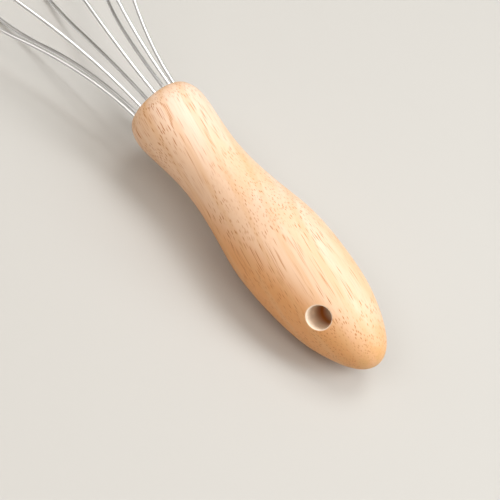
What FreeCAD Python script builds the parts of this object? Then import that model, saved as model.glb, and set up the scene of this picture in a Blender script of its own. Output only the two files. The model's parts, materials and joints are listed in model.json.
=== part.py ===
import FreeCAD, Part
import math
import os

import Sketcher
from FreeCAD import Placement, Rotation, Vector

# Balloon whisk with a turned wooden handle, lying on a level surface.
#
# Every sub-part is drawn in the whisk's own frame: X runs along the axis of the handle, zero is the
# plane of the handle's mouth, +X points at the wire head and -X at the rounded tip.  One placement
# then lays the whole whisk down, with the belly of the handle and the two lowest wires on z = 0.
# All sizes are millimetres and degrees.

DIMENSIONS = [
    ("handle_length", 113.0, "mouth to tip"),
    ("bore_radius", 9.4, "blind bore that takes the wires and their core"),
    ("bore_depth", 34.0, "mouth to the end of the bore's wall"),
    ("bore_point", 2.6, "depth of the cone that the drill leaves"),
    ("lip_radius", 11.0, "start of the rounding round the mouth"),
    ("shoulder_x", 1.8, "rounding of the mouth, control point"),
    ("shoulder_radius", 12.5, "rounding of the mouth, control point"),
    ("collar_x", 7.8, "widest place beside the mouth, control point"),
    ("collar_radius", 14.6, "widest place beside the mouth, control point"),
    ("waist_x", 28.0, "narrow waist, control point"),
    ("waist_radius", 10.6, "narrow waist, control point"),
    ("swell_x", 50.5, "where the waist opens into the belly, control point"),
    ("swell_radius", 14.0, "where the waist opens into the belly, control point"),
    ("belly_x", 63.0, "belly that fills the palm, control point"),
    ("belly_radius", 17.0, "belly that fills the palm, control point"),
    ("heel_x", 86.6, "start of the taper to the tip, control point"),
    ("heel_radius", 15.6, "start of the taper to the tip, control point"),
    ("nose_x", 99.0, "taper to the tip, control point"),
    ("nose_radius", 12.7, "taper to the tip, control point"),
    ("tip_radius", 5.7, "how blunt the tip is, control point"),
    ("hole_x", 91.0, "mouth to the axis of the hanging hole"),
    ("hole_radius", 3.9, "hanging hole"),
    ("hole_rounding", 0.35, "rounded edge of the hanging hole"),
    ("hole_clock", -53.4, "turn of the hanging hole about +X from upright, so it leans to +Y"),
    ("wire_diameter", 1.3, "spring wire of the loops"),
    ("ring_radius", 8.5, "circle on which the wires stand in the mouth"),
    ("leg_depth", 32.0, "mouth to the end of a wire leg"),
    ("bend_start", 1.5, "the wires start to bend this far inside the mouth"),
    ("bend_radius", 20.0, "short bend where the wires leave the mouth"),
    ("bend_angle", 5.3, "lean of the wires as they leave the mouth"),
    ("flare_radius", 141.0, "hollow curve in which the wires spread"),
    ("flare_angle", 25.4, "steepest lean of the wires"),
    ("side_radius", 105.0, "full curve from there to the widest place"),
    ("loop_pitch", 1.45, "step between the crowns of the nested loops"),
    ("loop_count", 4, "loops, each of them two of the visible wires"),
    ("first_loop_clock", 22.5, "turn of the first loop about +X from upright"),
    ("core_radius", 9.0, "core that the wire legs lie around"),
    ("core_top", 3.0, "mouth to the front face of the core"),
    ("core_bottom", 30.0, "mouth to the back face of the core"),
    ("groove_radius", 0.72, "grooves of the core that hold the legs"),
]

SAME_SIZE = 1e-6
OUTLINE_SAMPLES = 400
STEEPEST_TILT = 20.0
HALVINGS = 50


def make_sheet(doc):
    """Put the driving dimensions into a spreadsheet, one aliased cell for each."""
    sheet = doc.addObject("Spreadsheet::Sheet", "sheet")
    for row, (alias, value, meaning) in enumerate(DIMENSIONS, start=1):
        sheet.set(f"A{row}", alias)
        sheet.set(f"B{row}", str(value))
        sheet.set(f"C{row}", meaning)
        sheet.setAlias(f"B{row}", alias)
    doc.recompute()
    return sheet


def make_body(doc, label):
    body = doc.addObject("PartDesign::Body", label)
    body.Label = label
    return body


def origin_plane(body, role):
    return next(item for item in body.Origin.OriginFeatures if item.Role == role)


def sketch_on(body, role, name):
    """Start a sketch on one of the body's own origin planes."""
    sketch = body.newObject("Sketcher::SketchObject", name)
    sketch.AttachmentSupport = [(origin_plane(body, role), "")]
    sketch.MapMode = "FlatFace"
    return sketch


def lower_to(sheet, sketch, depth):
    """Move a sketch on the plane of the mouth down the bore, to a depth that the sheet names."""
    sketch.AttachmentOffset = Placement(Vector(0, 0, -value_of(sheet, depth)), Rotation())
    sketch.setExpression("AttachmentOffset.Base.z", f"-sheet.{depth} * 1 mm")


def dimension(sketch, kind, elements, value, expression):
    """Add a dimension to a sketch and bind it to cells of the sheet."""
    index = sketch.addConstraint(Sketcher.Constraint(kind, *elements, value))
    sketch.setExpression(f"Constraints[{index}]", expression)


def place_point(sketch, geometry, point, x, y, x_expression, y_expression):
    """Fix a point of a sketch by its distances from the origin; zero means on the axis."""
    origin = (-1, 1)
    for kind, value, expression, on_axis in (
        ("DistanceX", x, x_expression, -2),
        ("DistanceY", y, y_expression, -1),
    ):
        if value == 0:
            sketch.addConstraint(Sketcher.Constraint("PointOnObject", geometry, point, on_axis))
        else:
            dimension(sketch, kind, (*origin, geometry, point), value, expression)


def add_circle(sketch, x, y, radius, x_expression, y_expression, radius_expression):
    circle = sketch.addGeometry(Part.Circle(Vector(x, y, 0), Vector(0, 0, 1), radius), False)
    dimension(sketch, "Radius", (circle,), radius, radius_expression)
    place_point(sketch, circle, 3, x, y, x_expression, y_expression)


def value_of(sheet, name):
    return float(getattr(sheet, name))


# ---------------------------------------------------------------- handle


def draw_handle_outline(sheet, sketch):
    """Draw the section of the turned handle: one smooth outer curve, the bore and the axis."""
    stations = ["shoulder", "collar", "waist", "swell", "belly", "heel", "nose"]
    points = [("zero", "bore_radius"), ("zero", "lip_radius")]
    points += [(f"{name}_x", f"{name}_radius") for name in stations]
    points += [("handle_length", "tip_radius"), ("handle_length", "zero")]

    def coordinate(name):
        return 0.0 if name == "zero" else value_of(sheet, name)

    poles = [Vector(-coordinate(along), coordinate(across), 0) for along, across in points]
    degree = 3
    spans = len(poles) - degree
    knots = [step / spans for step in range(spans + 1)]
    multiplicities = [degree + 1] + [1] * (spans - 1) + [degree + 1]
    curve = Part.BSplineCurve()
    curve.buildFromPolesMultsKnots(poles, multiplicities, knots, False, degree)
    spline = sketch.addGeometry(curve, False)
    weight = 1.0
    for index, (along, across) in enumerate(points):
        pole = sketch.addGeometry(Part.Circle(poles[index], Vector(0, 0, 1), weight), True)
        sketch.addConstraint(
            Sketcher.Constraint("InternalAlignment:Sketcher::BSplineControlPoint", pole, 3, spline, index)
        )
        sketch.addConstraint(Sketcher.Constraint("Weight", pole, weight))
        place_point(
            sketch, pole, 3, poles[index].x, poles[index].y, f"-sheet.{along}", f"sheet.{across}"
        )

    depth = value_of(sheet, "bore_depth")
    point = value_of(sheet, "bore_point")
    radius = value_of(sheet, "bore_radius")
    corners = [
        Vector(-value_of(sheet, "handle_length"), 0, 0),
        Vector(-depth - point, 0, 0),
        Vector(-depth, radius, 0),
        Vector(0, radius, 0),
    ]
    lines = [
        sketch.addGeometry(Part.LineSegment(start, end), False)
        for start, end in zip(corners, corners[1:])
    ]
    sketch.addConstraint(Sketcher.Constraint("Coincident", spline, 2, lines[0], 1))
    sketch.addConstraint(Sketcher.Constraint("Coincident", lines[0], 2, lines[1], 1))
    sketch.addConstraint(Sketcher.Constraint("Coincident", lines[1], 2, lines[2], 1))
    sketch.addConstraint(Sketcher.Constraint("Coincident", lines[2], 2, spline, 1))
    sketch.addConstraint(Sketcher.Constraint("Horizontal", lines[2]))
    place_point(
        sketch, lines[0], 2, corners[1].x, 0, "-(sheet.bore_depth + sheet.bore_point)", ""
    )
    dimension(sketch, "DistanceX", (-1, 1, lines[1], 2), -depth, "-sheet.bore_depth")


def make_handle(doc, sheet):
    """Turn the handle from its section, then drill and round the hanging hole."""
    body = make_body(doc, "handle")
    section = sketch_on(body, "XZ_Plane", "handle_section")
    draw_handle_outline(sheet, section)
    turned = body.newObject("PartDesign::Revolution", "handle_turned")
    turned.Profile = section
    turned.ReferenceAxis = (section, ["H_Axis"])
    turned.Angle = 360.0
    doc.recompute()
    solid_volume = turned.Shape.Volume

    circle = sketch_on(body, "XY_Plane", "hanging_hole_circle")
    turn = Rotation(Vector(1, 0, 0), value_of(sheet, "hole_clock"))
    circle.AttachmentOffset = Placement(Vector(), turn)
    circle.setExpression("AttachmentOffset.Rotation.Angle", "sheet.hole_clock * 1 deg")
    add_circle(
        circle, -value_of(sheet, "hole_x"), 0.0, value_of(sheet, "hole_radius"),
        "-sheet.hole_x", "", "sheet.hole_radius",
    )
    hole = body.newObject("PartDesign::Pocket", "hanging_hole")
    hole.Profile = circle
    hole.Type = "ThroughAll"
    hole.Midplane = True
    doc.recompute()
    if hole.Shape.Volume >= solid_volume:
        raise RuntimeError("the hanging hole cuts nothing")

    rim = set()
    for face in hole.Shape.Faces:
        is_wall = isinstance(face.Surface, Part.Cylinder)
        if is_wall and abs(face.Surface.Radius - value_of(sheet, "hole_radius")) < SAME_SIZE:
            for edge in face.Edges:
                if not isinstance(edge.Curve, Part.Line):
                    rim.add(next(i for i, other in enumerate(hole.Shape.Edges) if other.isSame(edge)))
    rounding = body.newObject("PartDesign::Fillet", "hanging_hole_rounding")
    rounding.Base = (hole, [f"Edge{index + 1}" for index in sorted(rim)])
    rounding.setExpression("Radius", "sheet.hole_rounding")
    body.Tip = rounding
    return body


# ---------------------------------------------------------------- wire head


def radial(angle):
    """Unit vector square to a wire that leans outwards by this angle."""
    return Vector(-math.sin(angle), math.cos(angle), 0)


def arc_between(centre, radius, start, end):
    middle = (start + end) * 0.5 - centre
    middle.normalize()
    return Part.Arc(start, centre + middle * radius, end)


def loop_curves(sheet, shank):
    """Half the centre line of a loop: straight leg, bend, flare, side, shank and crown.

    Each entry is the curve, its first point and its last point.  The crown is a quarter circle about
    the whisk's axis, and the shank is the straight stretch that sets one crown past the next.
    """
    ring = value_of(sheet, "ring_radius")
    lean = math.radians(value_of(sheet, "bend_angle"))
    steep = math.radians(value_of(sheet, "flare_angle"))
    bend = value_of(sheet, "bend_radius")
    flare = value_of(sheet, "flare_radius")
    side = value_of(sheet, "side_radius")

    leg_end = Vector(-value_of(sheet, "leg_depth"), ring, 0)
    leg_start = Vector(-value_of(sheet, "bend_start"), ring, 0)
    bend_centre = leg_start + Vector(0, bend, 0)
    bend_end = bend_centre - radial(lean) * bend
    flare_centre = bend_end + radial(lean) * flare
    flare_end = flare_centre - radial(steep) * flare
    side_centre = flare_end - radial(steep) * side
    side_end = side_centre + Vector(0, side, 0)
    crown_start = side_end + Vector(shank, 0, 0)
    crown_centre = Vector(crown_start.x, 0, 0)
    crown_end = crown_centre + Vector(crown_start.y, 0, 0)

    curves = [
        (Part.LineSegment(leg_end, leg_start), leg_end, leg_start),
        (arc_between(bend_centre, bend, leg_start, bend_end), leg_start, bend_end),
        (arc_between(flare_centre, flare, bend_end, flare_end), bend_end, flare_end),
        (arc_between(side_centre, side, flare_end, side_end), flare_end, side_end),
    ]
    if shank > 0:
        curves.append((Part.LineSegment(side_end, crown_start), side_end, crown_start))
    crown = arc_between(crown_centre, crown_start.y, crown_start, crown_end)
    curves.append((crown, crown_start, crown_end))
    return curves


def end_near(sketch, geometry, point):
    """Say which end of a curve in a sketch, 1 or 2, lies at this point."""
    gaps = [sketch.getPoint(geometry, end).distanceToPoint(point) for end in (1, 2)]
    return 1 + gaps.index(min(gaps))


def draw_loop_path(sheet, sketch, shank, shank_expression):
    """Draw half a loop as a chain of tangent curves, held by its radii and angles."""
    curves = loop_curves(sheet, shank)
    ids = [sketch.addGeometry(curve, False) for curve, _, _ in curves]
    for first, second, (_, _, joint) in zip(ids, ids[1:], curves):
        ends = (first, end_near(sketch, first, joint), second, end_near(sketch, second, joint))
        sketch.addConstraint(Sketcher.Constraint("Tangent", *ends))

    leg, bend, flare, side = ids[:4]
    crown = ids[-1]
    leg_end = curves[0][1]
    place_point(
        sketch, leg, end_near(sketch, leg, leg_end), leg_end.x, leg_end.y,
        "-sheet.leg_depth", "sheet.ring_radius",
    )
    sketch.addConstraint(Sketcher.Constraint("Horizontal", leg))
    dimension(
        sketch, "DistanceX", (leg, 1, leg, 2), value_of(sheet, "leg_depth") - value_of(sheet, "bend_start"),
        "sheet.leg_depth - sheet.bend_start",
    )
    lean = math.radians(value_of(sheet, "bend_angle"))
    steep = math.radians(value_of(sheet, "flare_angle"))
    for arc, radius, sweep, sweep_expression in (
        (bend, "bend_radius", lean, "sheet.bend_angle * 1 deg"),
        (flare, "flare_radius", steep - lean, "(sheet.flare_angle - sheet.bend_angle) * 1 deg"),
        (side, "side_radius", steep, "sheet.flare_angle * 1 deg"),
    ):
        dimension(sketch, "Radius", (arc,), value_of(sheet, radius), f"sheet.{radius}")
        dimension(sketch, "Angle", (arc,), sweep, sweep_expression)
    if shank > 0:
        straight = ids[4]
        dimension(sketch, "DistanceX", (straight, 1, straight, 2), shank, shank_expression)
    crown_end = curves[-1][2]
    sketch.addConstraint(Sketcher.Constraint("PointOnObject", crown, 3, -1))
    sketch.addConstraint(
        Sketcher.Constraint("PointOnObject", crown, end_near(sketch, crown, crown_end), -1)
    )


def make_loop(doc, sheet, index):
    """Sweep the wire along half a loop and mirror it about the whisk's axis."""
    label = f"wire_loop_{index + 1}"
    body = make_body(doc, label)
    path = sketch_on(body, "XZ_Plane", f"{label}_path")
    draw_loop_path(sheet, path, index * value_of(sheet, "loop_pitch"), f"{index} * sheet.loop_pitch")

    section = sketch_on(body, "YZ_Plane", f"{label}_section")
    lower_to(sheet, section, "leg_depth")
    add_circle(
        section, 0.0, value_of(sheet, "ring_radius"), value_of(sheet, "wire_diameter") / 2,
        "", "sheet.ring_radius", "sheet.wire_diameter / 2",
    )
    doc.recompute()

    wire = body.newObject("PartDesign::AdditivePipe", f"{label}_wire")
    wire.Profile = section
    wire.Spine = (path, [])
    doc.recompute()
    mirrored = body.newObject("PartDesign::Mirrored", f"{label}_mirrored")
    mirrored.Originals = [wire]
    mirrored.MirrorPlane = (origin_plane(body, "XY_Plane"), [""])
    body.Tip = mirrored
    return body


# ---------------------------------------------------------------- inside the bore


def disc_body(doc, sheet, label, radius, back, front):
    """Make a cylinder about the axis of the bore, between two depths below the mouth."""
    body = make_body(doc, label)
    circle = sketch_on(body, "YZ_Plane", f"{label}_circle")
    lower_to(sheet, circle, back)
    add_circle(circle, 0.0, 0.0, value_of(sheet, radius), "", "", f"sheet.{radius}")
    disc = body.newObject("PartDesign::Pad", f"{label}_disc")
    disc.Profile = circle
    disc.setExpression("Length", f"sheet.{back} - sheet.{front}")
    doc.recompute()
    return body


def leg_circle(sheet, body, radius, radius_expression):
    """Draw the section of the way for one leg, on the plane of the mouth."""
    circle = sketch_on(body, "YZ_Plane", f"{body.Label}_way_circle")
    add_circle(
        circle, 0.0, value_of(sheet, "ring_radius"), radius, "", "sheet.ring_radius", radius_expression
    )
    return circle


def repeat_for_legs(doc, body, way, circle):
    """Repeat the way of one leg for all the legs of the loops, and see that they cut something."""
    before = way.BaseFeature.Shape.Volume
    ways = body.newObject("PartDesign::PolarPattern", f"{body.Label}_ways")
    ways.Originals = [way]
    ways.Axis = (circle, ["N_Axis"])
    ways.Angle = 360.0
    ways.setExpression("Occurrences", "2 * sheet.loop_count")
    body.Tip = ways
    doc.recompute()
    if body.Shape.Volume >= before:
        raise RuntimeError(f"the ways for the legs cut nothing from {body.Label}")


def cut_through_ways(doc, body, circle):
    """Cut a way right through the body for each leg of the loops."""
    way = body.newObject("PartDesign::Pocket", f"{body.Label}_way")
    way.Profile = circle
    way.Type = "ThroughAll"
    way.Midplane = True
    doc.recompute()
    repeat_for_legs(doc, body, way, circle)


def make_core(doc, sheet):
    """Make the core: a short dowel with a groove for every leg."""
    body = disc_body(doc, sheet, "core_plug", "core_radius", "core_bottom", "core_top")
    circle = leg_circle(sheet, body, value_of(sheet, "groove_radius"), "sheet.groove_radius")
    cut_through_ways(doc, body, circle)
    return body


def make_seal(doc, sheet):
    """Make the resin that closes the mouth round the wires."""
    body = disc_body(doc, sheet, "resin_seal", "bore_radius", "core_top", "bend_start")
    circle = leg_circle(sheet, body, value_of(sheet, "wire_diameter") / 2, "sheet.wire_diameter / 2")
    cut_through_ways(doc, body, circle)
    return body


def make_bed(doc, sheet):
    """Make the resin at the end of the bore, with the ends of the legs set in it."""
    body = make_body(doc, "resin_bed")
    section = sketch_on(body, "XZ_Plane", "resin_bed_section")
    radius, depth = value_of(sheet, "bore_radius"), value_of(sheet, "bore_depth")
    point, top = value_of(sheet, "bore_point"), value_of(sheet, "core_bottom")
    corners = [
        (-depth - point, 0.0, "-(sheet.bore_depth + sheet.bore_point)", ""),
        (-top, 0.0, "-sheet.core_bottom", ""),
        (-top, radius, "-sheet.core_bottom", "sheet.bore_radius"),
        (-depth, radius, "-sheet.bore_depth", "sheet.bore_radius"),
    ]
    lines = []
    for start, end in zip(corners, corners[1:] + corners[:1]):
        line = Part.LineSegment(Vector(start[0], start[1], 0), Vector(end[0], end[1], 0))
        lines.append(section.addGeometry(line, False))
    for line, following in zip(lines, lines[1:] + lines[:1]):
        section.addConstraint(Sketcher.Constraint("Coincident", line, 2, following, 1))
    for line, corner in zip(lines, corners):
        place_point(section, line, 1, *corner)
    cast = body.newObject("PartDesign::Revolution", "resin_bed_cast")
    cast.Profile = section
    cast.ReferenceAxis = (section, ["H_Axis"])
    cast.Angle = 360.0
    doc.recompute()

    circle = leg_circle(sheet, body, value_of(sheet, "wire_diameter") / 2, "sheet.wire_diameter / 2")
    lower_to(sheet, circle, "leg_depth")
    socket = body.newObject("PartDesign::Pocket", "resin_bed_way")
    socket.Profile = circle
    socket.Reversed = True
    socket.setExpression("Length", "sheet.leg_depth - sheet.core_bottom")
    doc.recompute()
    repeat_for_legs(doc, body, socket, circle)
    return body


# ---------------------------------------------------------------- laying the whisk down


def outline_points(doc, sheet):
    """List points of the handle's outline and of the two lowest wires.

    Each point is its distance along the axis and its distance below it.  The two lowest wires stand
    first_loop_clock to either side of straight down.
    """
    outline = doc.getObject("handle_section").Shape.Edges
    spline = next(edge for edge in outline if isinstance(edge.Curve, Part.BSplineCurve))
    handle = [(point.x, abs(point.z)) for point in spline.discretize(OUTLINE_SAMPLES)]
    straddle = math.cos(math.radians(value_of(sheet, "first_loop_clock")))
    wires = []
    for index in range(int(value_of(sheet, "loop_count"))):
        for curve, _, _ in loop_curves(sheet, index * value_of(sheet, "loop_pitch")):
            points = curve.toShape().discretize(OUTLINE_SAMPLES)
            wires += [(point.x, point.y * straddle) for point in points]
    return handle, wires


def rest_placement(doc, sheet):
    """Find the placement in which the belly and the two lowest wires stand on z = 0."""
    handle, wires = outline_points(doc, sheet)
    wire_radius = value_of(sheet, "wire_diameter") / 2

    def lowest(points, tilt):
        return min(along * math.sin(tilt) - below * math.cos(tilt) for along, below in points)

    low, high = 0.0, math.radians(STEEPEST_TILT)
    for _ in range(HALVINGS):
        tilt = (low + high) / 2
        if lowest(handle, tilt) > lowest(wires, tilt) - wire_radius:
            low = tilt
        else:
            high = tilt
    raised = Vector(0, 0, -lowest(handle, tilt))
    return Placement(raised, Rotation(Vector(0, 1, 0), -math.degrees(tilt)))


def lay_down(doc, sheet, bodies):
    """Place every body, then slide the whisk along X until the origin is under its middle."""
    rest = rest_placement(doc, sheet)
    for body, clock in bodies:
        body.Placement = rest.multiply(Placement(Vector(), Rotation(Vector(1, 0, 0), clock)))
    doc.recompute()
    boxes = [body.Shape.optimalBoundingBox(True, False) for body, _ in bodies]
    middle = (min(box.XMin for box in boxes) + max(box.XMax for box in boxes)) / 2
    for body, _ in bodies:
        body.Placement.Base = body.Placement.Base - Vector(middle, 0, 0)
    doc.recompute()
    print(f"tilt {math.degrees(rest.Rotation.Angle):.3f} degrees")
    print(f"mouth at x {-middle:.3f}, z {rest.Base.z:.3f}")


def check_document(doc, bodies):
    """Stop if any object failed, or if a sub-part isn't one valid solid."""
    for item in doc.Objects:
        if "Invalid" in item.State or "Error" in item.State:
            raise RuntimeError(f"{item.Name} failed: {item.State}")
    for body, _ in bodies:
        shape = body.Shape
        if shape.isNull() or not shape.isValid() or len(shape.Solids) != 1:
            raise RuntimeError(f"{body.Label} isn't one valid solid")


def main():
    doc = FreeCAD.newDocument("balloon_whisk")
    sheet = make_sheet(doc)
    first_clock = value_of(sheet, "first_loop_clock")
    count = int(value_of(sheet, "loop_count"))
    bodies = [
        (make_handle(doc, sheet), 0.0),
        (make_core(doc, sheet), first_clock),
        (make_bed(doc, sheet), first_clock),
        (make_seal(doc, sheet), first_clock),
    ]
    for index in range(count):
        bodies.append((make_loop(doc, sheet, index), first_clock + index * 180.0 / count))
    doc.recompute()
    lay_down(doc, sheet, bodies)
    check_document(doc, bodies)

    os.makedirs("parts", exist_ok=True)
    for body, _ in bodies:
        body.Shape.exportStep(f"parts/{body.Label}.step")
        print(f"{body.Label}: {body.Shape.Volume:.1f} mm3")


main()
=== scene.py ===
"""Balloon whisk on a pale surface: materials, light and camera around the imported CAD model."""

import json
import math

import bmesh
import bpy
from mathutils import Matrix, Vector


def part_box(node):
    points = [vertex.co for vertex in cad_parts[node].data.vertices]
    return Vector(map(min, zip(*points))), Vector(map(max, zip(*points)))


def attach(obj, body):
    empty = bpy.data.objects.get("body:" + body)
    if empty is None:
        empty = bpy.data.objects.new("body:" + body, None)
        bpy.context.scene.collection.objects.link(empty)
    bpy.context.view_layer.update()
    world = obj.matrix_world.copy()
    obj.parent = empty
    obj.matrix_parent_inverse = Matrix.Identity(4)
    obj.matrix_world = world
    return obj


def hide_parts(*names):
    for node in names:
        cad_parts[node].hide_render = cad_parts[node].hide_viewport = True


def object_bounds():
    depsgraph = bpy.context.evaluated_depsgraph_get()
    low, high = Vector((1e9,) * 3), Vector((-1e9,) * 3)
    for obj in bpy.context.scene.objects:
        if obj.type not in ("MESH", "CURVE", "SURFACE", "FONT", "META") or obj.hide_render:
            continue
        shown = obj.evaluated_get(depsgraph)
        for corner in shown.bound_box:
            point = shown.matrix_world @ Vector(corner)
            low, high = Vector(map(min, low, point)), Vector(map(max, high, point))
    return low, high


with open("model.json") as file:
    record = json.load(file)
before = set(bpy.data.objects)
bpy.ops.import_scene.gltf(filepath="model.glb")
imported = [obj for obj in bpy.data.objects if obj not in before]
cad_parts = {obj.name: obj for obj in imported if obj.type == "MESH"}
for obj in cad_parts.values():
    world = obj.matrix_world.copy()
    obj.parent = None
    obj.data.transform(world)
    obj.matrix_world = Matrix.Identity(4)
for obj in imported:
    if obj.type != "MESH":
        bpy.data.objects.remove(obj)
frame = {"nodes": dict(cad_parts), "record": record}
cad_low, cad_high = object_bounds()

# Lengths are in millimetres, and MM turns them into the scene's metres, unless a comment says otherwise.
MM = 0.001
BODY = "root"


# ---------------------------------------------------------------- places, read from the frame

# The middle of the seal lies this far inside the mouth of the handle.
SEAL_DEPTH = 2.25


def middle(node):
    """Centre of a CAD node's box."""
    low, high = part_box(node)
    return (low + high) / 2


# The core and the seal are round about the whisk's axis, so their middles lie on it.
CORE_MIDDLE = middle("core_plug")
SEAL_MIDDLE = middle("resin_seal")
AXIS = (SEAL_MIDDLE - CORE_MIDDLE).normalized()
SIDE = Vector((0, 1, 0))
RISE = AXIS.cross(SIDE)
MOUTH = SEAL_MIDDLE + AXIS * SEAL_DEPTH * MM

HOLE = frame["record"]["mounts"][0]
HOLE_MIDDLE = Vector(HOLE["pos_m"])
HOLE_AXIS = Vector(HOLE["axis"])
HOLE_RADIUS = HOLE["dims"]["r_mm"]
HOLE_HALF_LENGTH = HOLE["dims"]["length_mm"] / 2


def from_mouth(along, radius, angle):
    """Point this far along the axis and this far from it, turned by an angle from RISE towards SIDE."""
    outward = RISE * math.cos(angle) + SIDE * math.sin(angle)
    return MOUTH + (AXIS * along + outward * radius) * MM


def bearing(azimuth, elevation):
    """Direction at an azimuth from +X towards +Y and an elevation, both in degrees."""
    around = math.radians(azimuth)
    up = math.radians(elevation)
    return Vector((
        math.cos(around) * math.cos(up), math.sin(around) * math.cos(up), math.sin(up),
    ))


def link(name, data):
    """Put new data in the scene as an object."""
    thing = bpy.data.objects.new(name, data)
    bpy.context.scene.collection.objects.link(thing)
    return thing


# ---------------------------------------------------------------- camera

CAMERA_AZIMUTH = 116.5
CAMERA_ELEVATION = 54.36
CAMERA_ROLL = 25.24
# In metres.
CAMERA_DISTANCE = 0.354
CAMERA_NEAREST = 0.01
CAMERA_LENS = 79.2
SENSOR_WIDTH = 36.0
AIM_FROM_HANDLE = Vector((-2.75, 8.26, -1.75)) * MM


def make_camera():
    """Look down at the handle from the side with the hole, with the picture turned a little."""
    data = bpy.data.cameras.new("camera")
    data.lens = CAMERA_LENS
    data.sensor_width = SENSOR_WIDTH
    data.clip_start = CAMERA_NEAREST
    camera = link("camera", data)
    back = bearing(CAMERA_AZIMUTH, CAMERA_ELEVATION)
    aim = middle("handle") + AIM_FROM_HANDLE
    turn = (-back).to_track_quat("-Z", "Y").to_matrix().to_4x4()
    roll = Matrix.Rotation(math.radians(CAMERA_ROLL), 4, "Z")
    camera.matrix_world = Matrix.Translation(aim + back * CAMERA_DISTANCE) @ turn @ roll
    bpy.context.scene.camera = camera


# ---------------------------------------------------------------- material helpers

# The mix node has sockets of the same name for each kind of data, so its colour ones go by number.
MIX_FACTOR, MIX_FIRST, MIX_SECOND, MIX_RESULT = 0, 6, 7, 2

# Noise mostly lies between these.
NOISE_EDGE = (0.3, 0.7)


def new_material(name):
    """Make a material, and return it with its node tree and its shader."""
    material = bpy.data.materials.new(name)
    material.use_nodes = True
    tree = material.node_tree
    return material, tree, tree.nodes["Principled BSDF"]


def put(tree, socket, value):
    """Link a socket into another, or set its value."""
    if isinstance(value, bpy.types.NodeSocket):
        tree.links.new(value, socket)
    elif isinstance(value, (tuple, Vector)) and len(value) == 3 and socket.type == "RGBA":
        socket.default_value = (*value, 1)
    else:
        socket.default_value = value


def add(tree, kind, inputs=None, **settings):
    """Add a node with these settings and inputs."""
    node = tree.nodes.new(kind)
    for name, value in settings.items():
        setattr(node, name, value)
    for name, value in (inputs or {}).items():
        put(tree, node.inputs[name], value)
    return node


def mix(tree, factor, first, second):
    """Mix two colours: the first at a factor of 0, the second at 1."""
    inputs = {MIX_FACTOR: factor, MIX_FIRST: first, MIX_SECOND: second}
    return add(tree, "ShaderNodeMix", inputs, data_type="RGBA").outputs[MIX_RESULT]


def maths(tree, operation, *values):
    """Do arithmetic with numbers."""
    return add(tree, "ShaderNodeMath", dict(enumerate(values)), operation=operation).outputs[0]


def vector(tree, operation, *values):
    """Do arithmetic with vectors; dot products and lengths come out as a number."""
    node = add(tree, "ShaderNodeVectorMath", dict(enumerate(values)), operation=operation)
    return node.outputs["Value" if operation in ("DOT_PRODUCT", "LENGTH") else "Vector"]


def ramp(tree, value, low, high, to_low=0.0, to_high=1.0):
    """Turn low..high into to_low..to_high along a smooth step."""
    inputs = {
        "Value": value, "From Min": low, "From Max": high, "To Min": to_low, "To Max": to_high,
    }
    node = add(tree, "ShaderNodeMapRange", inputs, interpolation_type="SMOOTHSTEP")
    return node.outputs["Result"]


def own_place(tree):
    """Coordinates of a piece's points, in metres, on the frame's axes."""
    return add(tree, "ShaderNodeTexCoord").outputs["Object"]


def scaled(tree, coordinates, scale, shift=0.0):
    """Scale coordinates, and shift them so that two textures of one kind differ."""
    inputs = {"Vector": coordinates, "Location": (shift, shift, shift), "Scale": scale}
    return add(tree, "ShaderNodeMapping", inputs).outputs["Vector"]


def stretched(tree, grain, cell, shift=0.0):
    """Scale the grain's coordinates so that one cell is this long and this wide."""
    along, across = cell
    return scaled(tree, grain, (1 / along, 1 / across, 1 / across), shift)


def noise(tree, coordinates, detail=2.0, roughness=0.5):
    """Cloudy noise between 0 and 1, with features about as large as one unit."""
    inputs = {"Vector": coordinates, "Scale": 1.0, "Detail": detail, "Roughness": roughness}
    return add(tree, "ShaderNodeTexNoise", inputs).outputs["Fac"]


def from_point(tree, place, point, direction):
    """Distance from a point along a direction, in millimetres."""
    apart = vector(tree, "SUBTRACT", place, point)
    return vector(tree, "DOT_PRODUCT", apart, direction.normalized() / MM)


# ---------------------------------------------------------------- light and floor

# Each light: azimuth, elevation, width and height in metres, power in watts, and colour.
LIGHTS = {
    "window": (212.0, 43.0, 0.32, 0.95, 8.0, (0.92, 0.97, 1.0)),
    "overhead": (290.0, 70.0, 0.55, 0.50, 4.6, (1.0, 0.99, 0.97)),
    "front": (72.0, 56.0, 0.60, 0.50, 3.1, (1.0, 0.95, 0.90)),
    "far": (38.0, 36.0, 0.80, 0.60, 0.9, (1.0, 0.97, 0.94)),
    "skylight": (165.0, 62.0, 0.40, 0.40, 2.2, (1.0, 0.96, 0.91)),
}
# In metres.
LIGHT_DISTANCE = 1.1

# The sky glows round its middle. Its edge holds the cosines at which the glow starts and is full.
SKY_DIM = (0.17, 0.145, 0.12)
SKY_BRIGHT = (0.43, 0.41, 0.37)
SKY_MIDDLE = Vector((-0.3, -0.6, 0.74)).normalized()
SKY_EDGE = (0.2, 0.95)

# How far the floor reaches each way, in metres.
FLOOR_REACH = 3.0
FLOOR_COLOUR = (0.56, 0.545, 0.52)
FLOOR_ROUGHNESS = 0.9


def make_light(name, azimuth, elevation, width, height, power, colour):
    """Add a soft area light that looks at the middle of the handle."""
    data = bpy.data.lights.new(name, "AREA")
    data.shape = "RECTANGLE"
    data.size = width
    data.size_y = height
    data.energy = power
    data.color = colour
    light = link(name, data)
    toward = bearing(azimuth, elevation)
    light.location = middle("handle") + toward * LIGHT_DISTANCE
    light.rotation_euler = (-toward).to_track_quat("-Z", "Y").to_euler()


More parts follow.
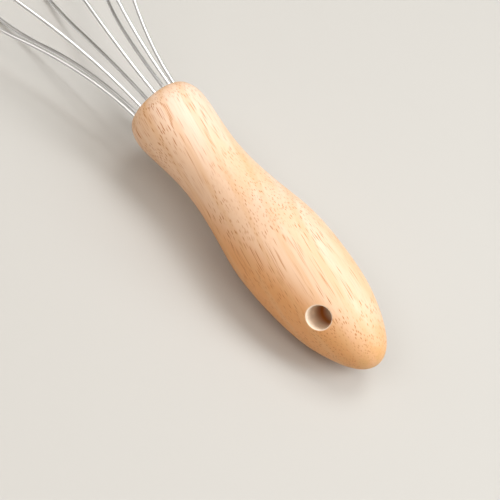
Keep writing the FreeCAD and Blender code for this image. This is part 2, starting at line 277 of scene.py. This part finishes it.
def make_world():
    """Light the whisk from all round, most of all from overhead."""
    world = bpy.data.worlds.new("studio")
    world.use_nodes = True
    tree = world.node_tree
    place = add(tree, "ShaderNodeTexCoord").outputs["Generated"]
    glow = ramp(tree, vector(tree, "DOT_PRODUCT", place, SKY_MIDDLE), *SKY_EDGE)
    put(tree, tree.nodes["Background"].inputs["Color"], mix(tree, glow, SKY_DIM, SKY_BRIGHT))
    bpy.context.scene.world = world


def make_floor():
    """Lay a plain pale floor under the whisk."""
    mesh = bpy.data.meshes.new("floor")
    form = bmesh.new()
    bmesh.ops.create_grid(form, x_segments=1, y_segments=1, size=FLOOR_REACH)
    form.to_mesh(mesh)
    form.free()
    floor = link("floor", mesh)
    floor.location.z = cad_low.z
    material, tree, shader = new_material("floor_plain")
    put(tree, shader.inputs["Base Color"], FLOOR_COLOUR)
    put(tree, shader.inputs["Roughness"], FLOOR_ROUGHNESS)
    mesh.materials.append(material)


# ---------------------------------------------------------------- wood

# The grain runs a little askew of the handle's axis, in degrees.
GRAIN_TO_SIDE = -6.4
GRAIN_RISE = 8.5
HANDLE_LENGTH = 113.0

WOOD_PALE = (0.92, 0.69, 0.54)
WOOD_WARM = (0.90, 0.59, 0.38)
WOOD_BAND = (0.80, 0.46, 0.22)
# Painted shade: the colour of the lower side by the floor, which the tip also takes as its own warmer
# tone.
WOOD_SHADE_AND_TIP = (0.80, 0.37, 0.13)
PORE = (0.54, 0.18, 0.04)
END_GRAIN = (0.74, 0.40, 0.14)
RAW_WALL = (0.96, 0.79, 0.63)
# Painted shade: the hole's wall darkens to this colour deeper in, where little light reaches.
PAINTED_HOLE_SHADE = (0.72, 0.26, 0.01)

# A cell is how long and how wide the features of a texture are. An edge is where an effect starts and
# where it is full. A depth is how much it counts where it is full, and a least how much before it starts.
SWAY_CELL = (45.0, 18.0)
SWAY_WIDTH = 3.5

PATCH_CELL = (60.0, 9.0)
PATCH_EDGE = (0.36, 0.66)

FIBRE_CELL = (16.0, 0.4)
FIBRE_EDGE = (0.45, 0.8)
FIBRE_DEPTH = 0.4

# The rings lie round the pith, which is this far off across the grain. Their edge is on the sine wave.
PITH_OFFSET = (38.0, -22.0)
RING_WIDTH = 6.5
RING_EDGE = (0.3, 1.0)
RING_DEPTH = 0.36

# Painted shade and painted warm bounce light: the wood turns warmer, then more orange and darker, towards
# its lower side by the floor. These edges are distances.
SHADED_SIDE = SIDE * 0.84 - RISE * 0.54 - AXIS * 0.15
WARM_EDGE = (-3.0, 10.0)
WARM_DEPTH = 0.8
SHADE_EDGE = (12.0, 22.0)
TIP_EDGE = (HANDLE_LENGTH - 17.0, HANDLE_LENGTH)
TIP_DEPTH = 0.6

# Each kind of pore: its cell, the share of the cell that it reaches over, and its shift.
LONG_PORES = ((46.0, 0.58), 0.38, 3.0)
SHORT_PORES = ((13.0, 0.54), 0.36, 11.0)
SHORT_DEPTH = 0.8
PORE_CORE = 0.35
PORE_DEPTH = 0.95
CHANCE_EDGE = (0.1, 0.8)
CHANCE_LEAST = 0.15
CROWD_CELL = (34.0, 6.0)
CROWD_EDGE = (0.32, 0.56)
CROWD_LEAST = 0.5
CROWD_SHIFT = 7.0

# The end grain's edge is in how squarely the surface faces along the axis.
END_EDGE = (0.1, 0.85)
END_DEPTH = 0.7
MOTTLE_CELL = (7.0, 3.0)
MOTTLE_EDGE = (0.38, 0.62)
MOTTLE_LEAST = 0.25
MOTTLE_SHIFT = 5.0

# The hole's wall is told by the distance outside its radius, and the painted shade deeper in by the
# distance in from an opening.
WALL_EDGE = (0.1, 0.5)
HOLE_SHADE_EDGE = (8.0, 16.0)

LACQUER_ROUGHNESS = 0.45
BARE_ROUGHNESS = 0.95
PORE_DULLNESS = 0.4
BUMP_STRENGTH = 0.3
BUMP_HEIGHT = 0.06
FIBRE_RELIEF = 0.15

DOWEL_DARK = (0.60, 0.38, 0.21)
DOWEL_PALE = (0.80, 0.60, 0.40)
DOWEL_CELL = (12.0, 0.5)
DOWEL_ROUGHNESS = (0.70, 0.85)


def grain_coordinates(tree, place):
    """Coordinates along and across the grain, in millimetres from the middle of the mouth."""
    along = AXIS + SIDE * math.tan(math.radians(GRAIN_TO_SIDE))
    along = (along + RISE * math.tan(math.radians(GRAIN_RISE))).normalized()
    across = (SIDE - along * SIDE.dot(along)).normalized()
    turn = Matrix((along, across, along.cross(across))).transposed()
    inputs = {
        "Vector": place,
        "Location": MOUTH,
        "Rotation": turn.to_euler(),
        "Scale": (MM, MM, MM),
    }
    return add(tree, "ShaderNodeMapping", inputs, vector_type="TEXTURE").outputs["Vector"]


def wandering(tree, straight):
    """Let the fibres wander a little from the straight."""
    inputs = {"Vector": stretched(tree, straight, SWAY_CELL), "Scale": 1.0, "Detail": 1.0}
    sway = add(tree, "ShaderNodeTexNoise", inputs).outputs["Color"]
    sway = vector(tree, "SUBTRACT", sway, (0.5, 0.5, 0.5))
    sway = vector(tree, "MULTIPLY", sway, (0.0, SWAY_WIDTH, SWAY_WIDTH))
    return vector(tree, "ADD", straight, sway)


def growth_rings(tree, grain):
    """Soft bands on cylinders round the pith."""
    parts = add(tree, "ShaderNodeSeparateXYZ", {"Vector": grain})
    down = maths(tree, "SUBTRACT", parts.outputs["Y"], PITH_OFFSET[0])
    over = maths(tree, "SUBTRACT", parts.outputs["Z"], PITH_OFFSET[1])
    squares = maths(
        tree, "ADD", maths(tree, "MULTIPLY", down, down), maths(tree, "MULTIPLY", over, over)
    )
    turns = maths(tree, "MULTIPLY", maths(tree, "SQRT", squares), 2 * math.pi / RING_WIDTH)
    return ramp(tree, maths(tree, "SINE", turns), *RING_EDGE)


def vessels(tree, grain, cell, reach, shift):
    """One thin pore in each cell of the wood, some darker than others."""
    inputs = {"Vector": stretched(tree, grain, cell, shift), "Scale": 1.0}
    cells = add(tree, "ShaderNodeTexVoronoi", inputs)
    chance = add(tree, "ShaderNodeSeparateColor", {"Color": cells.outputs["Color"]}).outputs["Red"]
    depth = ramp(tree, cells.outputs["Distance"], PORE_CORE * reach, reach, 1.0, 0.0)
    return maths(tree, "MULTIPLY", depth, ramp(tree, chance, *CHANCE_EDGE, CHANCE_LEAST, 1.0))


def wood_tone(tree, place, grain, fibres):
    """Pale wood with warmer patches, growth rings, fine fibres, a warmer tip, and painted shade that
    warms and darkens the lower side by the floor.
    """
    patches = ramp(tree, noise(tree, stretched(tree, grain, PATCH_CELL)), *PATCH_EDGE)
    shadeward = from_point(tree, place, MOUTH, SHADED_SIDE)
    # The warm patches are the wood's own; the warming towards the lower side is painted shade.
    warm = maths(tree, "MAXIMUM", patches, ramp(tree, shadeward, *WARM_EDGE, 0.0, WARM_DEPTH))
    tip = ramp(tree, from_point(tree, place, MOUTH, -AXIS), *TIP_EDGE, 0.0, TIP_DEPTH)
    # Painted shade on the lower side, joined with the tip's own warmer tone.
    shade_and_tip = maths(tree, "MAXIMUM", ramp(tree, shadeward, *SHADE_EDGE), tip)
    rings = maths(tree, "MULTIPLY", growth_rings(tree, grain), RING_DEPTH)
    colour = mix(tree, warm, WOOD_PALE, WOOD_WARM)
    colour = mix(tree, shade_and_tip, colour, WOOD_SHADE_AND_TIP)
    colour = mix(tree, rings, colour, WOOD_BAND)
    return mix(tree, ramp(tree, fibres, *FIBRE_EDGE, 0.0, FIBRE_DEPTH), colour, WOOD_BAND)


def wood_pores(tree, grain):
    """Long and short pores, crowded in some stretches and thin in others."""
    crowding = noise(tree, stretched(tree, grain, CROWD_CELL, CROWD_SHIFT), detail=1.0)
    short_pores = maths(tree, "MULTIPLY", vessels(tree, grain, *SHORT_PORES), SHORT_DEPTH)
    pores = maths(tree, "MAXIMUM", vessels(tree, grain, *LONG_PORES), short_pores)
    return maths(tree, "MULTIPLY", pores, ramp(tree, crowding, *CROWD_EDGE, CROWD_LEAST, 1.0))


def end_grain(tree, grain):
    """How much darker the end grain is, in blotches, since it soaks up more lacquer."""
    normal = add(tree, "ShaderNodeNewGeometry").outputs["Normal"]
    facing = maths(tree, "ABSOLUTE", vector(tree, "DOT_PRODUCT", normal, AXIS))
    mottle = noise(tree, stretched(tree, grain, MOTTLE_CELL, MOTTLE_SHIFT))
    blotches = ramp(tree, mottle, *MOTTLE_EDGE, MOTTLE_LEAST, 1.0)
    soaked = maths(tree, "MULTIPLY", ramp(tree, facing, *END_EDGE), blotches)
    return maths(tree, "MULTIPLY", soaked, END_DEPTH)


def in_hanging_hole(tree, place):
    """1 on the wall of the hanging hole, 0 on the rest of the handle."""
    apart = vector(tree, "SUBTRACT", place, HOLE_MIDDLE)
    from_axis = vector(tree, "LENGTH", vector(tree, "CROSS_PRODUCT", apart, HOLE_AXIS))
    inner, outer = ((HOLE_RADIUS + edge) * MM for edge in WALL_EDGE)
    return ramp(tree, from_axis, inner, outer, 1.0, 0.0)


def wall_colour_and_shade(tree, place):
    """Bare wood near the openings of the hanging hole, darkened further in by painted shade."""
    from_middle = maths(tree, "ABSOLUTE", from_point(tree, place, HOLE_MIDDLE, HOLE_AXIS))
    start, full = (HOLE_HALF_LENGTH - edge for edge in HOLE_SHADE_EDGE)
    # Painted shade deeper in the hole.
    return mix(tree, ramp(tree, from_middle, full, start, 1.0, 0.0), RAW_WALL, PAINTED_HOLE_SHADE)


def wood_material(name):
    """Pale close lacquered wood, with brown pores along the grain and darker end grain."""
    material, tree, shader = new_material(name)
    place = own_place(tree)
    grain = wandering(tree, grain_coordinates(tree, place))
    fibres = noise(tree, stretched(tree, grain, FIBRE_CELL), detail=3.0, roughness=0.6)
    pores = wood_pores(tree, grain)
    in_hole = in_hanging_hole(tree, place)

    colour = wood_tone(tree, place, grain, fibres)
    colour = mix(tree, maths(tree, "MULTIPLY", pores, PORE_DEPTH), colour, PORE)
    colour = mix(tree, end_grain(tree, grain), colour, END_GRAIN)
    colour = mix(tree, in_hole, colour, wall_colour_and_shade(tree, place))
    put(tree, shader.inputs["Base Color"], colour)

    dull = maths(tree, "MAXIMUM", in_hole, maths(tree, "MULTIPLY", pores, PORE_DULLNESS))
    roughness = ramp(tree, dull, 0.0, 1.0, LACQUER_ROUGHNESS, BARE_ROUGHNESS)
    put(tree, shader.inputs["Roughness"], roughness)

    relief = maths(tree, "SUBTRACT", maths(tree, "MULTIPLY", fibres, FIBRE_RELIEF), pores)
    inputs = {"Strength": BUMP_STRENGTH, "Distance": BUMP_HEIGHT * MM, "Height": relief}
    put(tree, shader.inputs["Normal"], add(tree, "ShaderNodeBump", inputs).outputs["Normal"])
    return material


def dowel_material():
    """Plain matt hardwood with straight fine fibres."""
    material, tree, shader = new_material("plain_dowel")
    grain = grain_coordinates(tree, own_place(tree))
    fibres = noise(tree, stretched(tree, grain, DOWEL_CELL), detail=3.0, roughness=0.6)
    put(tree, shader.inputs["Base Color"], mix(tree, fibres, DOWEL_DARK, DOWEL_PALE))
    put(tree, shader.inputs["Roughness"], ramp(tree, fibres, *NOISE_EDGE, *DOWEL_ROUGHNESS))
    return material


# ---------------------------------------------------------------- steel and resin

# A scale is how many features a metre holds in each direction.
STEEL_SCALE = (120, 260, 260)
STEEL_DIM = (0.76, 0.77, 0.79)
STEEL_BRIGHT = (0.86, 0.86, 0.87)
STEEL_ROUGHNESS = (0.28, 0.34)

RESIN_SCALE = (400, 400, 400)
RESIN_DEEP = (0.50, 0.30, 0.12)
RESIN_PALE = (0.72, 0.50, 0.26)
RESIN_ROUGHNESS = (0.18, 0.32)


def steel_material():
    """Drawn and polished stainless wire."""
    material, tree, shader = new_material("stainless_wire")
    drawn = noise(tree, scaled(tree, own_place(tree), STEEL_SCALE), detail=0.0)
    put(tree, shader.inputs["Metallic"], 1.0)
    put(tree, shader.inputs["Base Color"], mix(tree, drawn, STEEL_DIM, STEEL_BRIGHT))
    put(tree, shader.inputs["Roughness"], ramp(tree, drawn, *NOISE_EDGE, *STEEL_ROUGHNESS))
    return material


def resin_material():
    """Amber casting resin, a little cloudy."""
    material, tree, shader = new_material("casting_resin")
    cloud = noise(tree, scaled(tree, own_place(tree), RESIN_SCALE), detail=3.0)
    put(tree, shader.inputs["Base Color"], mix(tree, cloud, RESIN_DEEP, RESIN_PALE))
    put(tree, shader.inputs["Roughness"], ramp(tree, cloud, *NOISE_EDGE, *RESIN_ROUGHNESS))
    return material


# ---------------------------------------------------------------- wires

WIRE_RADIUS = 0.65
# The legs stand in a ring of this radius and reach this far into the handle.
RING_RADIUS = 8.5
LEG_DEPTH = 32.0
# Each loop is longer than the one before, so that their crowns nest.
LOOP_PITCH = 1.45
LOOP_COUNT = 4
# In degrees round the axis, from RISE away from SIDE.
FIRST_CLOCK = 22.5

# Half a loop, from the end of its leg: a straight, then arcs of this radius and turn in degrees.
STRAIGHT_LEG = 30.5
BENDS = ((20.0, 5.3), (141.0, 20.1), (105.0, -25.4))
# The greatest step along a wire, and the number of faces round it.
STEP = 0.8
SIDES = 16

# The wires were bent by hand, so the two sides of each loop stray a little between the mouth and the
# widest place: so many degrees round the axis, and so many millimetres outwards.
STRAY = (
    ((4.0, -0.3), (3.0, 0.0)),
    ((0.0, 0.9), (0.0, 0.3)),
    ((-5.0, -0.8), (1.0, 0.0)),
    ((-1.2, 0.0), (-1.8, 0.0)),
)
STRAY_LENGTH = 90.0


def leg_clock(leg):
    """Angle round the axis at which a leg stands; legs past the last loop are the loops' other sides."""
    return -math.radians(FIRST_CLOCK + leg * 180.0 / LOOP_COUNT)


def half_loop(shank):
    """Points of half a loop, as distance from the mouth and from the axis.

    The shank is the straight stretch before the crown.
    """
    x, r, lean = -LEG_DEPTH, RING_RADIUS, 0.0
    points = [(x, r)]
    stretches = [(STRAIGHT_LEG, 0.0)]
    for radius, turn in BENDS:
        stretches.append((radius * math.radians(abs(turn)), math.radians(turn)))
    stretches.append((shank, 0.0))
    for length, turn in stretches:
        steps = math.ceil(length / STEP)
        for _ in range(steps):
            lean += turn / steps / 2
            x += length / steps * math.cos(lean)
            r += length / steps * math.sin(lean)
            lean += turn / steps / 2
            points.append((x, r))
    crown = math.ceil(r * math.pi / 2 / STEP)
    for step in range(1, crown + 1):
        angle = math.pi / 2 * step / crown
        points.append((x + r * math.sin(angle), r * math.cos(angle)))
    return points


def loop_line(index):
    """Centre line of a whole loop, from one leg's end to the other's."""
    half = half_loop(index * LOOP_PITCH)
    line = []
    for side, (turn, push) in enumerate(STRAY[index]):
        leg = []
        for x, r in half:
            share = min(max(0.0, x / STRAY_LENGTH), 1.0)
            bulge = math.sin(math.pi * share) ** 2
            angle = leg_clock(index) + side * math.pi + math.radians(turn) * bulge
            leg.append(from_mouth(x, r + push * bulge, angle))
        # The second side runs back to its leg's end, without the crown's point that both share.
        line += leg if side == 0 else leg[-2::-1]
    return line


def make_wire(name, line):
    """Sweep a round wire along a line of points, and close its ends."""
    form = bmesh.new()
    rings = []
    across = RISE
    for index, point in enumerate(line):
        ahead = line[min(index + 1, len(line) - 1)]
        behind = line[max(index - 1, 0)]
        along = (ahead - behind).normalized()
        across = (across - along * across.dot(along)).normalized()
        over = along.cross(across)
        ring = []
        for side in range(SIDES):
            angle = 2 * math.pi * side / SIDES
            offset = across * math.cos(angle) + over * math.sin(angle)
            ring.append(form.verts.new(point + offset * WIRE_RADIUS * MM))
        rings.append(ring)
    for ring, following in zip(rings, rings[1:]):
        for side in range(SIDES):
            beside = (side + 1) % SIDES
            face = form.faces.new((ring[side], ring[beside], following[beside], following[side]))
            face.smooth = True
    form.faces.new(rings[0][::-1])
    form.faces.new(rings[-1])
    mesh = bpy.data.meshes.new(name)
    form.to_mesh(mesh)
    form.free()
    return link(name, mesh)


def make_wires(material):
    """Make the nested loops of the head."""
    for index in range(LOOP_COUNT):
        number = index + 1
        wire = make_wire(f"spring_wire_{number}", loop_line(index))
        wire.data.materials.append(material)
        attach(wire, BODY)
        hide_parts(f"wire_loop_{number}")


# ---------------------------------------------------------------- resin at the mouth

# The resin's radius is the bore's, and its heights are measured from the mouth.
RESIN_RADIUS = 9.4
RESIN_TOP = -1.5
RESIN_BOTTOM = -3.0
RESIN_RINGS = 40
RESIN_SPOKES = 128

# How high the resin climbs, and how quickly the climb fades with distance.
WALL_CLIMB = 0.35
WALL_FADE = 0.4
WIRE_CLIMB = 0.45
WIRE_FADE = 0.45


def resin_height(radius, angle):
    """Height of the resin's surface, which climbs the wires and the wall of the bore a little."""
    height = RESIN_TOP + WALL_CLIMB * math.exp((radius - RESIN_RADIUS) / WALL_FADE)
    for leg in range(2 * LOOP_COUNT):
        clock = leg_clock(leg)
        apart = math.hypot(
            radius * math.cos(angle) - RING_RADIUS * math.cos(clock),
            radius * math.sin(angle) - RING_RADIUS * math.sin(clock),
        )
        height += WIRE_CLIMB * math.exp(-max(0.0, apart - WIRE_RADIUS) / WIRE_FADE)
    return height


def make_mouth_resin(material):
    """Pour the resin that closes the mouth: a disc with a skin that rises round every wire."""
    form = bmesh.new()

    def circle(radius, height_at):
        angles = [2 * math.pi * spoke / RESIN_SPOKES for spoke in range(RESIN_SPOKES)]
        points = [from_mouth(height_at(radius, angle), radius, angle) for angle in angles]
        return [form.verts.new(point) for point in points]

    radii = [RESIN_RADIUS * (ring + 1) / RESIN_RINGS for ring in range(RESIN_RINGS)]
    circles = [circle(radius, resin_height) for radius in radii]
    circles.append(circle(RESIN_RADIUS, lambda radius, angle: RESIN_BOTTOM))
    centre = form.verts.new(from_mouth(resin_height(0.0, 0.0), 0.0, 0.0))
    for spoke in range(RESIN_SPOKES):
        beside = (spoke + 1) % RESIN_SPOKES
        form.faces.new((centre, circles[0][spoke], circles[0][beside]))
        for inner, outer in zip(circles, circles[1:]):
            form.faces.new((inner[spoke], outer[spoke], outer[beside], inner[beside]))
    form.faces.new(circles[-1])
    bmesh.ops.recalc_face_normals(form, faces=form.faces)
    for face in form.faces:
        face.smooth = len(face.verts) <= 4
    mesh = bpy.data.meshes.new("mouth_resin")
    form.to_mesh(mesh)
    form.free()
    mesh.materials.append(material)
    resin = link("mouth_resin", mesh)
    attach(resin, BODY)
    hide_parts("resin_seal")


# ---------------------------------------------------------------- the whole scene


def dress(node, material):
    """Give a CAD node its material."""
    mesh = frame["nodes"][node].data
    mesh.materials.clear()
    mesh.materials.append(material)


make_camera()
make_world()
for name, settings in LIGHTS.items():
    make_light(name, *settings)
make_floor()

amber = resin_material()
dress("handle", wood_material("rubberwood"))
dress("core_plug", dowel_material())
dress("resin_bed", amber)
make_mouth_resin(amber)
make_wires(steel_material())

bpy.context.scene.view_settings.view_transform = "Standard"
